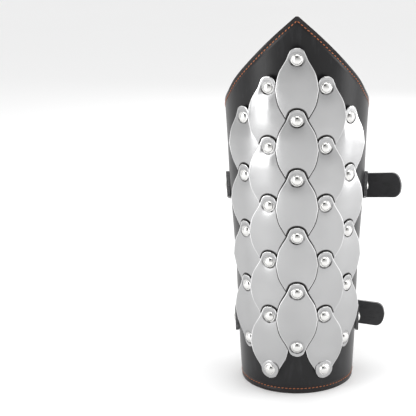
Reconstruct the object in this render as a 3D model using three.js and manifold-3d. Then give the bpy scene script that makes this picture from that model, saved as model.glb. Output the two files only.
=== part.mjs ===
// Leather forearm bracer with riveted steel scales and two buckled straps.
// Millimetres, +Z up towards the elbow, scales facing -Y, open back facing +Y.
import * as THREE from 'three';
import { mergeVertices } from 'three/addons/utils/BufferGeometryUtils.js';
import Module from 'manifold-3d';

const wasm = await Module();
wasm.setup();

// Driving dimensions: the leather
const guardLength = 239.5;
const wristRadius = 37;
const upperRadius = 45.6;
const flapReach = 91;
const leatherThickness = 2.4;

// Driving dimensions: the steel scales and their rivets
const topRivetHeight = 215.5;
const rowPitch = 36.3;
const columnPitch = 16.4;
const outerColumnShift = 1.6;
const innerColumnDrop = 17;
const scaleHalfWidth = 11.7;
const flankStandOff = 2.4;
const flankStart = 0.47;
const scaleTipReach = 6.5;
const scaleThickness = 0.8;
const endScaleRadius = 5.9;
const domeRadius = 3.2;
const domeHeight = 1.9;
const domeShoulderOut = 0.78;
const domeShoulderUp = 0.66;
const shankRadius = 1.3;
const washerRadius = 2.6;
const washerThickness = 0.7;

// Driving dimensions: straps and buckles
const strapWidth = 16.6;
const strapThickness = 2;
const tailRoundLength = 6;
const wireRadius = 1.3;
const frameWidth = 26;
const frameReach = 13;
const frameCorner = 2.6;
const rollerRadius = 2.3;
const rollerLength = 18;
const prongWidth = 2.8;
const prongThickness = 1.6;
const prongHoleShare = 0.35;
const prongSlotShare = 0.56;
const prongPastRoller = 0.35;
const keeperWireRadius = 1.2;
const keeperHeight = 24;
const keeperCornerShare = 0.3;
const strapHoleRadius = 1;
const foldReturn = 36;
const foldHeadThickness = 0.8;
const foldHeadTaper = 0.8;

// Clearances
const gap = 0.3;
const holeClearance = 0.35;
const restClearance = 0.2;
const layerMargin = 0.02;

// How the radius grows from the wrist (0) to the upper radius (1), by share of the length
const girthRows = [
  { up: 0, swell: 0 },
  { up: 0.12, swell: 0.17 },
  { up: 0.27, swell: 0.29 },
  { up: 0.33, swell: 0.35 },
  { up: 0.44, swell: 0.53 },
  { up: 0.55, swell: 0.73 },
  { up: 0.66, swell: 0.85 },
  { up: 0.77, swell: 1 },
  { up: 0.82, swell: 1.1 },
  { up: 1, swell: 1.4 },
];

// Half the width of the flat leather, as a share of the flap reach, by share of the length
const outlineRows = [
  { up: 0, reach: 0.9 },
  { up: 0.1, reach: 0.91 },
  { up: 0.25, reach: 0.94 },
  { up: 0.42, reach: 0.973 },
  { up: 0.576, reach: 1 },
  { up: 0.635, reach: 0.995 },
  { up: 0.689, reach: 0.962 },
  { up: 0.729, reach: 0.9 },
  { up: 0.756, reach: 0.813 },
  { up: 0.779, reach: 0.703 },
  { up: 0.804, reach: 0.593 },
  { up: 0.837, reach: 0.495 },
  { up: 0.88, reach: 0.363 },
  { up: 0.922, reach: 0.242 },
  { up: 0.96, reach: 0.132 },
  { up: 0.989, reach: 0.044 },
  { up: 1, reach: 0.01 },
];

// Half-width of a scale, as a share of its widest, by distance from its middle
// as a share of the distance from the middle to the tip
const scaleRows = [
  { out: 0, wide: 1 },
  { out: 0.38, wide: 0.845 },
  { out: 0.72, wide: 0.49 },
  { out: 0.9, wide: 0.33 },
  { out: 1, wide: 0.13 },
];

const columns = [
  { name: 'outer_left', place: -2, count: 4 },
  { name: 'left', place: -1, count: 5 },
  { name: 'centre', place: 0, count: 5 },
  { name: 'right', place: 1, count: 5 },
  { name: 'outer_right', place: 2, count: 4 },
];

// Each strap pair: heights of its middle and its riveted ends, the place of the buckle
// and the keeper as degrees from the middle of the back, and its free tail
const strapPairs = [
  {
    name: 'upper', middle: 118.5, endRise: 11.5, hinge: -8, keeper: 27.4,
    leave: 30, tail: 51.8, tailRise: 6, holePitch: 18.4, holesPast: 3,
  },
  {
    name: 'lower', middle: 32, endRise: 6.6, hinge: -17, keeper: 14.5,
    leave: 18, tail: 49.3, tailRise: -2, holePitch: 14.3, holesPast: 3,
  },
];
const strapEndAngle = 92;
const strapRivetInset = 8;
const endRisePower = 2.3;

const leather = { color: 0x17130f, roughness: 0.5, metalness: 0 };
const strapLeather = { color: 0x3a393b, roughness: 0.55, metalness: 0 };
const steel = { color: 0xd9dcdf, roughness: 0.16, metalness: 1 };
const nickel = { color: 0xe6e4df, roughness: 0.25, metalness: 1 };

// Smooth value between the rows of a table
function follow(rows, from, to, at) {
  const last = rows.length - 1;
  let i = 0;
  while (i < last - 1 && rows[i + 1][from] < at) i += 1;
  const a = rows[Math.max(i - 1, 0)];
  const b = rows[i];
  const c = rows[i + 1];
  const d = rows[Math.min(i + 2, last)];
  const span = c[from] - b[from];
  const slopeB = (c[to] - a[to]) / (c[from] - a[from]);
  const slopeC = (d[to] - b[to]) / (d[from] - b[from]);
  const t = THREE.MathUtils.clamp((at - b[from]) / span, 0, 1);
  const t2 = t * t;
  const t3 = t2 * t;
  return (2 * t3 - 3 * t2 + 1) * b[to] + (t3 - 2 * t2 + t) * span * slopeB
    + (3 * t2 - 2 * t3) * c[to] + (t3 - t2) * span * slopeC;
}

function radiusAt(z) {
  const swell = follow(girthRows, 'up', 'swell', THREE.MathUtils.clamp(z / guardLength, 0, 1));
  return wristRadius + (upperRadius - wristRadius) * swell;
}

// A point by its distance round the leather from the front line, its height,
// and how far it stands off the outer face
function onLeather(around, z, off) {
  const radius = radiusAt(z);
  const angle = around / radius;
  return new THREE.Vector3(
    (radius + off) * Math.sin(angle),
    -(radius + off) * Math.cos(angle),
    z,
  );
}

// A point by its radius and its degrees from the middle of the back, positive to +X
function atBack(radius, degrees, z) {
  const angle = THREE.MathUtils.degToRad(degrees);
  return new THREE.Vector3(radius * Math.sin(angle), radius * Math.cos(angle), z);
}

function indexed(points, faces) {
  const geometry = new THREE.BufferGeometry();
  geometry.setAttribute('position', new THREE.Float32BufferAttribute(
    points.flatMap((p) => [p.x, p.y, p.z]),
    3,
  ));
  geometry.setIndex(faces);
  return geometry;
}

function toManifold(geometry) {
  const bare = geometry.clone();
  bare.deleteAttribute('normal');
  bare.deleteAttribute('uv');
  const merged = mergeVertices(bare, 1e-4);
  return new wasm.Manifold(new wasm.Mesh({
    numProp: 3,
    vertProperties: new Float32Array(merged.attributes.position.array),
    triVerts: new Uint32Array(merged.index.array),
  }));
}

function fromManifold(solid) {
  const mesh = solid.getMesh();
  const geometry = new THREE.BufferGeometry();
  geometry.setAttribute('position', new THREE.BufferAttribute(mesh.vertProperties, 3));
  geometry.setIndex(new THREE.BufferAttribute(mesh.triVerts, 1));
  return geometry;
}

function cut(geometry, cutters) {
  let solid = toManifold(geometry);
  for (const cutter of cutters) solid = solid.subtract(toManifold(cutter));
  return fromManifold(solid);
}

function join(geometry, other) {
  return fromManifold(toManifold(geometry).add(toManifold(other)));
}

// A closed sheet between an outer and an inner grid of points
function sheet(outer, inner) {
  const rows = outer.length;
  const cols = outer[0].length;
  const points = [...outer.flat(), ...inner.flat()];
  const under = rows * cols;
  const faces = [];
  const at = (r, c) => r * cols + c;
  for (let r = 0; r < rows - 1; r += 1) {
    for (let c = 0; c < cols - 1; c += 1) {
      const [p, q, s, t] = [at(r, c), at(r, c + 1), at(r + 1, c + 1), at(r + 1, c)];
      faces.push(p, q, s, p, s, t);
      faces.push(p + under, s + under, q + under, p + under, t + under, s + under);
    }
  }
  const rim = [];
  for (let c = 0; c < cols - 1; c += 1) rim.push(at(0, c));
  for (let r = 0; r < rows - 1; r += 1) rim.push(at(r, cols - 1));
  for (let c = cols - 1; c > 0; c -= 1) rim.push(at(rows - 1, c));
  for (let r = rows - 1; r > 0; r -= 1) rim.push(at(r, 0));
  rim.forEach((p, i) => {
    const q = rim[(i + 1) % rim.length];
    faces.push(p, p + under, q + under, p, q + under, q);
  });
  return indexed(points, faces);
}

// A strip of leather or metal along a path in plan, square in section.
// Each station has its place and, where it narrows, its own half-width, and where it
// lies on the leather, the slope that it leans at.
function ribbon(stations, width, thickness) {
  const points = [];
  stations.forEach((station, i) => {
    const lean = station.lean ?? 0;
    const radial = new THREE.Vector3(station.place.x, station.place.y, 0).normalize();
    const up = new THREE.Vector3(0, 0, 1).addScaledVector(radial, lean).normalize();
    const before = stations[Math.max(i - 1, 0)].place;
    const after = stations[Math.min(i + 1, stations.length - 1)].place;
    const along = after.clone().sub(before).normalize();
    const outward = along.clone().cross(up).normalize();
    const across = outward.clone().cross(along).normalize();
    const half = station.half ?? width / 2;
    for (const [side, face] of [[-1, -1], [-1, 1], [1, 1], [1, -1]]) {
      points.push(station.place.clone()
        .addScaledVector(across, side * half)
        .addScaledVector(outward, face * thickness / 2));
    }
  });
  const faces = [0, 1, 2, 0, 2, 3];
  for (let i = 0; i < stations.length - 1; i += 1) {
    for (let k = 0; k < 4; k += 1) {
      const [p, q] = [i * 4 + k, i * 4 + (k + 1) % 4];
      faces.push(p, p + 4, q + 4, p, q + 4, q);
    }
  }
  const end = (stations.length - 1) * 4;
  faces.push(end, end + 2, end + 1, end, end + 3, end + 2);
  const geometry = indexed(points, faces);
  return turnedOut(geometry);
}

// Flips every face when the solid came out inside out
function turnedOut(geometry) {
  const p = geometry.attributes.position;
  const index = geometry.index.array;
  const [a, b, c] = [new THREE.Vector3(), new THREE.Vector3(), new THREE.Vector3()];
  let volume = 0;
  for (let i = 0; i < index.length; i += 3) {
    a.fromBufferAttribute(p, index[i]);
    b.fromBufferAttribute(p, index[i + 1]);
    c.fromBufferAttribute(p, index[i + 2]);
    volume += a.dot(b.cross(c));
  }
  if (volume > 0) return geometry;
  const flipped = geometry.clone();
  const faces = Array.from(index);
  for (let i = 0; i < faces.length; i += 3) {
    [faces[i + 1], faces[i + 2]] = [faces[i + 2], faces[i + 1]];
  }
  flipped.setIndex(faces);
  return flipped;
}

// Round wire along a closed path; each station gives its centre and its outward direction
function wireLoop(stations, radius, sides) {
  const points = [];
  const count = stations.length;
  stations.forEach((station, i) => {
    const before = stations[(i + count - 1) % count].place;
    const after = stations[(i + 1) % count].place;
    const along = after.clone().sub(before).normalize();
    const across = along.clone().cross(station.outward).normalize();
    const outward = across.clone().cross(along).normalize();
    for (let k = 0; k < sides; k += 1) {
      const angle = (k + 0.5) * 2 * Math.PI / sides;
      points.push(station.place.clone()
        .addScaledVector(across, radius * Math.cos(angle))
        .addScaledVector(outward, radius * Math.sin(angle)));
    }
  });
  const faces = [];
  for (let i = 0; i < count; i += 1) {
    const next = (i + 1) % count;
    for (let k = 0; k < sides; k += 1) {
      const turn = (k + 1) % sides;
      const [p, q] = [i * sides + k, i * sides + turn];
      const [s, t] = [next * sides + turn, next * sides + k];
      faces.push(p, q, s, p, s, t);
    }
  }
  return turnedOut(indexed(points, faces));
}

// Corner-rounded rectangle in a plane, as pairs from its middle
function roundedLoop(width, height, corner, cornerSteps) {
  const loop = [];
  const quarters = [[1, 1], [-1, 1], [-1, -1], [1, -1]];
  quarters.forEach(([sx, sy], quarter) => {
    for (let i = 0; i <= cornerSteps; i += 1) {
      const angle = (quarter + i / cornerSteps) * Math.PI / 2;
      loop.push([
        sx * (width / 2 - corner) + corner * Math.cos(angle),
        sy * (height / 2 - corner) + corner * Math.sin(angle),
      ]);
    }
  });
  return loop;
}

// Turns a shape made along +Y so that +Y points straight out of the leather
function standOut(geometry, around, z) {
  const seat = onLeather(around, z, 0);
  const outward = new THREE.Vector3(seat.x, seat.y, 0).normalize();
  const turn = new THREE.Quaternion().setFromUnitVectors(new THREE.Vector3(0, 1, 0), outward);
  return geometry.clone().applyQuaternion(turn).translate(seat.x, seat.y, seat.z);
}

// Domed rivet whose head sits at one height and whose washer is inside the leather
function rivet(headSeat, inside) {
  const washerFace = -inside - gap - restClearance;
  const profile = [
    [0, washerFace - washerThickness],
    [washerRadius, washerFace - washerThickness],
    [washerRadius, washerFace],
    [shankRadius, washerFace],
    [shankRadius, headSeat],
    [domeRadius, headSeat],
    [domeRadius * domeShoulderOut, headSeat + domeHeight * domeShoulderUp],
    [0, headSeat + domeHeight],
  ];
  return turnedOut(bareLathe(profile, 8));
}

function bareLathe(profile, sides) {
  const lathe = new THREE.LatheGeometry(profile.map(([x, y]) => new THREE.Vector2(x, y)), sides);
  lathe.deleteAttribute('normal');
  lathe.deleteAttribute('uv');
  const merged = mergeVertices(lathe, 1e-4);
  const faces = [];
  const index = merged.index.array;
  for (let i = 0; i < index.length; i += 3) {
    const [a, b, c] = [index[i], index[i + 1], index[i + 2]];
    if (a !== b && b !== c && c !== a) faces.push(a, b, c);
  }
  merged.setIndex(faces);
  return merged;
}

function drill(radius, sides, from, to) {
  const drillBody = new THREE.CylinderGeometry(radius, radius, to - from, sides);
  return drillBody.translate(0, (from + to) / 2, 0);
}

const columnStep = scaleThickness + gap;
const columnLift = columnStep * (1 + Math.max(
  innerColumnDrop / rowPitch,
  1 - innerColumnDrop / rowPitch,
)) + layerMargin;
const holeRadius = shankRadius + holeClearance;

function dropOf(place) {
  if (Math.abs(place) === 2) return rowPitch;
  if (Math.abs(place) === 1) return innerColumnDrop;
  return 0;
}

// Place of a column round the leather, measured from the front
function aroundOf(column) {
  const outer = Math.abs(column.place) === 2 ? Math.sign(column.place) : 0;
  return column.place * columnPitch + outer * outerColumnShift;
}

// How far the outward flank of a side column's stiff scale stands off the curve
function flankLift(column, across) {
  const out = Math.sign(column.place) * across / scaleHalfWidth;
  const past = Math.max(out - flankStart, 0) / (1 - flankStart);
  return flankStandOff * past * past;
}

function rivetHeight(column, row) {
  return topRivetHeight - dropOf(column.place) - row * rowPitch;
}

// The lowest face of a column's scales at their lower rivets
function seatOf(column) {
  return gap + restClearance + (2 - Math.abs(column.place)) * columnLift;
}

function scale(column, row) {
  const around = aroundOf(column);
  const upper = rivetHeight(column, row);
  const lower = upper - rowPitch;
  const middle = (upper + lower) / 2;
  const tip = rowPitch / 2 + scaleTipReach;
  const cells = [...scaleRows].reverse().map(({ out, wide }) => ({ out: -out, wide }));
  const profile = [...cells, ...scaleRows.slice(1)];
  const across = [-1, -0.5, 0, 0.5, 1];
  const grid = (lift) => profile.map(({ out, wide }) => across.map((side) => {
    const z = middle + out * tip;
    const sideways = side * wide * scaleHalfWidth;
    const rise = columnStep * (z - lower) / rowPitch + flankLift(column, sideways);
    return onLeather(around + sideways, z, seatOf(column) + rise + lift);
  }));
  const plate = sheet(grid(scaleThickness), grid(0));
  const seat = seatOf(column) + columnStep + scaleThickness;
  const withRivet = join(plate, standOut(rivet(seat - gap, leatherThickness), around, upper));
  const throughLower = drill(holeRadius, 6, -leatherThickness, seat + domeHeight);
  return cut(withRivet, [standOut(throughLower, around, lower)]);
}

// A trimmed scale end: only the round lobe about the last rivet of an inner column
function endScale(column) {
  const around = aroundOf(column);
  const z = rivetHeight(column, column.count);
  const seat = seatOf(column) + columnStep;
  const disc = new THREE.CylinderGeometry(endScaleRadius, endScaleRadius, scaleThickness, 12);
  disc.translate(0, seat + scaleThickness / 2 + gap, 0);
  return standOut(join(disc, rivet(seat + scaleThickness, leatherThickness)), around, z);
}

function endRivet(column) {
  const around = aroundOf(column);
  const seat = seatOf(column) + scaleThickness + gap;
  return standOut(rivet(seat, leatherThickness), around, rivetHeight(column, column.count));
}

const strapCentre = gap + strapThickness / 2;
const layerStep = strapThickness + gap;
const foldRadius = wireRadius + gap + strapThickness / 2;
const barDrop = layerStep / 2;
const rollerLift = strapThickness / 2 + gap + rollerRadius;
const overFold = foldRadius - barDrop + layerStep;
const overlapStep = layerStep + foldHeadThickness + gap;

// Height of a strap's centre line by its degrees from the middle of the back
function strapHeight(pair, degrees) {
  return pair.middle + pair.endRise * Math.abs(degrees / strapEndAngle) ** endRisePower;
}

function strapRadius(pair) {
  return radiusAt(pair.middle) + strapCentre;
}

// How fully a strap has left the open back and lies against a flap
function flapShare(degrees) {
  return THREE.MathUtils.smoothstep(Math.abs(degrees), 30, 60);
}

// Where a strap lies against the leather it follows the leather's own radius
function lyingRadius(pair, degrees) {
  const onFlap = radiusAt(strapHeight(pair, degrees)) + strapCentre;
  return THREE.MathUtils.lerp(strapRadius(pair), onFlap, flapShare(degrees));
}

// The leather's slope across the strap's width
function lyingLean(pair, degrees) {
  const z = strapHeight(pair, degrees);
  const rise = radiusAt(z + strapWidth / 2) - radiusAt(z - strapWidth / 2);
  return flapShare(degrees) * rise / strapWidth;
}

function degreesFor(pair, length) {
  return THREE.MathUtils.radToDeg(length / strapRadius(pair));
}

function rollerAngle(pair) {
  return pair.hinge - degreesFor(pair, frameReach);
}

// How far the long strap stands above the short strap's run, along the buckle
function longStrapLift(pair, degrees) {
  const fromHinge = (pair.hinge - degrees) * frameReach / (pair.hinge - rollerAngle(pair));
  const rise = 1 - THREE.MathUtils.smoothstep(fromHinge, 0, frameReach - wireRadius);
  const past = THREE.MathUtils.smoothstep(-fromHinge, 0, frameReach);
  return rise * THREE.MathUtils.lerp(overFold, overlapStep, past);
}

function longStrapRadius(pair, degrees) {
  return lyingRadius(pair, degrees) + longStrapLift(pair, degrees);
}

function tailStart(pair) {
  return atBack(longStrapRadius(pair, pair.leave), pair.leave, strapHeight(pair, pair.leave));
}

function tailPoint(pair, length) {
  const angle = THREE.MathUtils.degToRad(pair.leave);
  const start = tailStart(pair);
  const share = length / pair.tail;
  return start.add(new THREE.Vector3(
    length * Math.cos(angle),
    -length * Math.sin(angle),
    pair.tailRise * share,
  ));
}

function holeAt(place, outward, radius) {
  const depth = 3 * strapThickness;
  const body = new THREE.CylinderGeometry(radius, radius, depth, 6);
  const turn = new THREE.Quaternion().setFromUnitVectors(new THREE.Vector3(0, 1, 0), outward);
  return body.applyQuaternion(turn).translate(place.x, place.y, place.z);
}

function outwardAt(degrees) {
  return atBack(1, degrees, 0);
}

function bluntHalf(fromTip) {
  const share = THREE.MathUtils.clamp(fromTip / tailRoundLength, 0, 1);
  const blunt = 2.2;
  return Math.max(strapWidth / 2 * (1 - (1 - share) ** blunt) ** (1 / blunt), prongWidth / 2);
}

function longStrap(pair) {
  const stations = [];
  const roller = rollerAngle(pair);
  const angles = [];
  for (let a = -strapEndAngle; a < roller - 6; a += 8) angles.push(a);
  for (let a = roller - 2; a < pair.leave - 2; a += 4) angles.push(a);
  for (const a of angles) {
    stations.push({
      place: atBack(longStrapRadius(pair, a), a, strapHeight(pair, a)),
      lean: lyingLean(pair, a),
    });
  }
  for (const share of [0, 0.3, 0.6]) {
    stations.push({ place: tailPoint(pair, share * pair.tail) });
  }
  for (const fromTip of [6, 3.5, 1.8, 0.7, 0]) {
    const reach = fromTip * tailRoundLength / 6;
    stations.push({ place: tailPoint(pair, pair.tail - reach), half: bluntHalf(reach) });
  }
  const body = ribbon(stations, strapWidth, strapThickness);
  const prongHole = pair.hinge - degreesFor(pair, frameReach * prongHoleShare);
  const cutters = [strapRivetDrill(pair, -1)];
  const before = prongHole - degreesFor(pair, pair.holePitch);
  cutters.push(holeAt(
    atBack(longStrapRadius(pair, before), before, strapHeight(pair, before)),
    outwardAt(before),
    strapHoleRadius,
  ));
  const overlapRadius = strapRadius(pair) + overlapStep;
  for (let n = 1; n <= pair.holesPast; n += 1) {
    const run = n * pair.holePitch;
    const angle = prongHole + THREE.MathUtils.radToDeg(run / overlapRadius);
    if (angle < pair.leave) {
      const place = atBack(longStrapRadius(pair, angle), angle, strapHeight(pair, angle));
      cutters.push(holeAt(place, outwardAt(angle), strapHoleRadius));
    } else {
      const past = THREE.MathUtils.degToRad(angle - pair.leave) * overlapRadius;
      cutters.push(holeAt(tailPoint(pair, past), outwardAt(pair.leave), strapHoleRadius));
    }
  }
  const slotLength = frameReach * prongSlotShare;
  const slot = new THREE.BoxGeometry(slotLength, 4 * strapThickness, prongWidth + 4 * gap);
  const middle = atBack(longStrapRadius(pair, prongHole), prongHole, strapHeight(pair, prongHole));
  slot.rotateZ(THREE.MathUtils.degToRad(-prongHole)).translate(middle.x, middle.y, middle.z);
  cutters.push(slot);
  return cut(body, cutters);
}

// The short strap runs round the flap, folds round the buckle's bar and comes back inside
function shortStrap(pair) {
  const stations = [];
  const put = (radius, degrees) => stations.push({
    place: atBack(radius, degrees, strapHeight(pair, degrees)),
    lean: lyingLean(pair, degrees),
  });
  const bar = strapRadius(pair) - barDrop;
  const taper = degreesFor(pair, 3 * foldRadius);
  for (let a = strapEndAngle; a > pair.hinge + taper; a -= 8) put(lyingRadius(pair, a), a);
  const foldSteps = 6;
  for (let i = 0; i <= foldSteps; i += 1) {
    const turn = Math.PI * i / foldSteps;
    put(bar + foldRadius * Math.cos(turn), pair.hinge - degreesFor(pair, foldRadius * Math.sin(turn)));
  }
  const back = pair.hinge + degreesFor(pair, foldReturn);
  for (let a = pair.hinge + taper; a < back; a += 8) put(strapRadius(pair) - layerStep, a);
  const body = ribbon(stations.reverse(), strapWidth, strapThickness);
  const slot = new THREE.BoxGeometry(
    3.6 * foldRadius,
    3 * foldRadius,
    prongWidth + 4 * gap,
  );
  const hinge = atBack(bar, pair.hinge, strapHeight(pair, pair.hinge));
  slot.rotateZ(THREE.MathUtils.degToRad(-pair.hinge)).translate(hinge.x, hinge.y, hinge.z);
  return cut(body, [slot, strapRivetDrill(pair, 1), foldRivetDrill(pair)]);
}

// Buckle frame: its bar lies in the short strap's fold and its far side carries the roller
function buckleFrame(pair) {
  const loop = roundedLoop(frameReach, frameWidth - 2 * wireRadius, frameCorner, 4);
  const hingeLift = -barDrop;
  const stations = loop.map(([along, high]) => {
    const reach = frameReach / 2 - along;
    const share = reach / frameReach;
    const degrees = pair.hinge - degreesFor(pair, reach);
    const radius = strapRadius(pair) + THREE.MathUtils.lerp(hingeLift, rollerLift, share);
    return {
      place: atBack(radius, degrees, strapHeight(pair, pair.hinge) + high),
      outward: outwardAt(degrees),
    };
  });
  return wireLoop(stations, wireRadius, 6);
}

function buckleRoller(pair) {
  const degrees = rollerAngle(pair);
  const centre = atBack(
    strapRadius(pair) + rollerLift,
    degrees,
    strapHeight(pair, pair.hinge),
  );
  const bore = wireRadius + gap;
  const half = rollerLength / 2;
  const profile = [[bore, -half], [rollerRadius, -half], [rollerRadius, half], [bore, half],
    [bore, -half]];
  return turnedOut(bareLathe(profile, 10)).rotateX(Math.PI / 2)
    .translate(centre.x, centre.y, centre.z);
}

// The prong rings the bar, comes up through the strap and rests on the roller
function buckleProng(pair) {
  const bar = strapRadius(pair) - barDrop;
  const ring = wireRadius + gap + prongThickness / 2;
  const height = strapHeight(pair, pair.hinge);
  const stations = [];
  const put = (reach, lift) => stations.push({
    place: atBack(bar + lift, pair.hinge - degreesFor(pair, reach), height),
  });
  const ringSteps = 9;
  for (let i = 0; i <= ringSteps; i += 1) {
    const turn = THREE.MathUtils.degToRad(THREE.MathUtils.lerp(-20, -270, i / ringSteps));
    put(ring * Math.cos(turn), ring * Math.sin(turn));
  }
  const rest = rollerLift + barDrop + rollerRadius + gap + prongThickness / 2;
  put(frameReach * 0.22, ring + 0.3 * prongThickness);
  put(frameReach * 0.75, rest * 0.88);
  put(frameReach, rest);
  put(frameReach + rollerRadius * prongPastRoller, rest - 0.1 * prongThickness);
  return ribbon(stations, prongWidth, prongThickness);
}

// Wire keeper round both layers of the short strap and the tail
function keeper(pair) {
  const inner = strapRadius(pair) - layerStep - strapThickness / 2 - gap - keeperWireRadius;
  const outer = strapRadius(pair) + overlapStep + strapThickness / 2 + gap + keeperWireRadius;
  const depth = outer - inner;
  const height = keeperHeight - 2 * keeperWireRadius;
  const loop = roundedLoop(depth, height, depth * keeperCornerShare, 3);
  const tangent = outwardAt(pair.keeper + 90);
  const stations = loop.map(([through, high]) => ({
    place: atBack(
      (inner + outer) / 2 + through,
      pair.keeper,
      strapHeight(pair, pair.keeper) + high,
    ),
    outward: tangent,
  }));
  return wireLoop(stations, keeperWireRadius, 6);
}

function strapRivetAngle() {
  return strapEndAngle - THREE.MathUtils.radToDeg(strapRivetInset / upperRadius);
}

function strapRivetSeat(pair, side) {
  const degrees = side * strapRivetAngle();
  const z = strapHeight(pair, degrees);
  return { around: side * radiusAt(z) * (Math.PI - THREE.MathUtils.degToRad(strapRivetAngle())), z };
}

function strapRivetDrill(pair, side) {
  const seat = strapRivetSeat(pair, side);
  return standOut(drill(holeRadius, 6, -2 * leatherThickness, 3 * strapThickness), seat.around, seat.z);
}

function strapRivet(pair, side) {
  const seat = strapRivetSeat(pair, side);
  const head = strapCentre + strapThickness / 2 + gap;
  return standOut(rivet(head, leatherThickness), seat.around, seat.z);
}

function foldRivetAngle(pair) {
  return pair.hinge + degreesFor(pair, foldReturn - strapRivetInset / 2);
}

function placeAtFold(pair, geometry) {
  const degrees = foldRivetAngle(pair);
  const seat = atBack(strapRadius(pair), degrees, strapHeight(pair, degrees));
  const turn = new THREE.Quaternion().setFromUnitVectors(new THREE.Vector3(0, 1, 0), outwardAt(degrees));
  return geometry.clone().applyQuaternion(turn).translate(seat.x, seat.y, seat.z);
}

function foldRivetDrill(pair) {
  return placeAtFold(pair, drill(holeRadius, 6, -2 * layerStep, layerStep));
}

// Flat rivet that closes the short strap's fold
function foldRivet(pair) {
  const washerFace = -layerStep - strapThickness / 2 - gap;
  const headSeat = strapThickness / 2 + gap / 2;
  const profile = [
    [0, washerFace - washerThickness],
    [washerRadius, washerFace - washerThickness],
    [washerRadius, washerFace],
    [shankRadius, washerFace],
    [shankRadius, headSeat],
    [washerRadius, headSeat],
    [washerRadius * foldHeadTaper, headSeat + foldHeadThickness],
    [0, headSeat + foldHeadThickness],
  ];
  return placeAtFold(pair, turnedOut(bareLathe(profile, 8)));
}

const materials = {
  leather: new THREE.MeshStandardMaterial(leather),
  strap: new THREE.MeshStandardMaterial(strapLeather),
  steel: new THREE.MeshStandardMaterial(steel),
  nickel: new THREE.MeshStandardMaterial(nickel),
};

const bracer = new THREE.Group();

function add(name, geometry, material) {
  const mesh = new THREE.Mesh(geometry, material);
  mesh.name = name;
  bracer.add(mesh);
}

// The outline's rows, with more between those that lie far apart
function shellRows() {
  const rows = [];
  const longestSpan = 0.065;
  outlineRows.slice(1).forEach((next, i) => {
    const row = outlineRows[i];
    const parts = Math.ceil((next.up - row.up) / longestSpan);
    for (let part = 0; part < parts; part += 1) {
      const up = THREE.MathUtils.lerp(row.up, next.up, part / parts);
      rows.push({ up, reach: follow(outlineRows, 'up', 'reach', up) });
    }
  });
  return [...rows, outlineRows.at(-1)];
}

function leatherShell() {
  const across = [];
  const spans = 22;
  for (let i = 0; i <= spans; i += 1) across.push(2 * i / spans - 1);
  const grid = (off) => shellRows().map(({ up, reach }) => across.map((share) => {
    const z = up * guardLength;
    return onLeather(share * reach * flapReach, z, off);
  }));
  const body = sheet(grid(0), grid(-leatherThickness));
  const drills = [];
  const through = drill(holeRadius, 6, -2 * leatherThickness, leatherThickness);
  for (const column of columns) {
    for (let row = 0; row <= column.count; row += 1) {
      drills.push(standOut(through, aroundOf(column), rivetHeight(column, row)));
    }
  }
  for (const pair of strapPairs) {
    for (const side of [-1, 1]) drills.push(strapRivetDrill(pair, side));
  }
  return cut(body, drills);
}

add('leather_shell', leatherShell(), materials.leather);

for (const column of columns) {
  for (let row = 0; row < column.count; row += 1) {
    add(`scale_${column.name}_${row + 1}`, scale(column, row), materials.steel);
  }
  if (Math.abs(column.place) === 1) {
    add(`end_scale_${column.name}`, endScale(column), materials.steel);
  } else {
    add(`end_rivet_${column.name}`, endRivet(column), materials.nickel);
  }
}

for (const pair of strapPairs) {
  add(`long_strap_${pair.name}`, longStrap(pair), materials.strap);
  add(`short_strap_${pair.name}`, shortStrap(pair), materials.strap);
  add(`buckle_frame_${pair.name}`, buckleFrame(pair), materials.nickel);
  add(`buckle_roller_${pair.name}`, buckleRoller(pair), materials.nickel);
  add(`buckle_prong_${pair.name}`, buckleProng(pair), materials.nickel);
  add(`keeper_${pair.name}`, keeper(pair), materials.nickel);
  add(`strap_rivet_left_${pair.name}`, strapRivet(pair, -1), materials.nickel);
  add(`strap_rivet_right_${pair.name}`, strapRivet(pair, 1), materials.nickel);
  add(`fold_rivet_${pair.name}`, foldRivet(pair), materials.nickel);
}

// The origin is at the middle of the bounding box's base
const bounds = new THREE.Box3().setFromObject(bracer);
const middle = bounds.getCenter(new THREE.Vector3());
bracer.position.set(-middle.x, -middle.y, -bounds.min.z);

export default bracer;
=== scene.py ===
import bmesh
import bpy
import math
import random
from bisect import bisect_left
from mathutils import Matrix, Vector
from mathutils.kdtree import KDTree


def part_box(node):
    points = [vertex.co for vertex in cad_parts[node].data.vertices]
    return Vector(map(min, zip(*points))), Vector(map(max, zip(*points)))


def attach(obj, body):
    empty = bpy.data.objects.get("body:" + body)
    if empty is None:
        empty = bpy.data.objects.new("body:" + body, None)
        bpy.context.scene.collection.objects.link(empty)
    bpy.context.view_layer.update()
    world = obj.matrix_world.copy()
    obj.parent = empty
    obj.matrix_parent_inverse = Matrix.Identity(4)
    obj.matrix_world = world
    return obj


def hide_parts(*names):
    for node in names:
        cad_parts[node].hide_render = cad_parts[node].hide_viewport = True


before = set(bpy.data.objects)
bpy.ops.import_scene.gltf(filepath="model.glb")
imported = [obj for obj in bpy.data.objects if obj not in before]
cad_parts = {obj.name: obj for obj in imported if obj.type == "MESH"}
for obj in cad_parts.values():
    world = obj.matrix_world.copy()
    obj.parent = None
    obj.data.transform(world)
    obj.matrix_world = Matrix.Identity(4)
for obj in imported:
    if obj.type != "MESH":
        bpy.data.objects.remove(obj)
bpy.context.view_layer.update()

# Leather bracer with riveted steel scales and two buckled straps.
# Shapes are worked out in millimetres about the forearm's axis, and MM turns them into
# the frame's metres. +Z runs up to the elbow, the scales face -Y.
MM = 0.001
random.seed(7)

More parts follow.
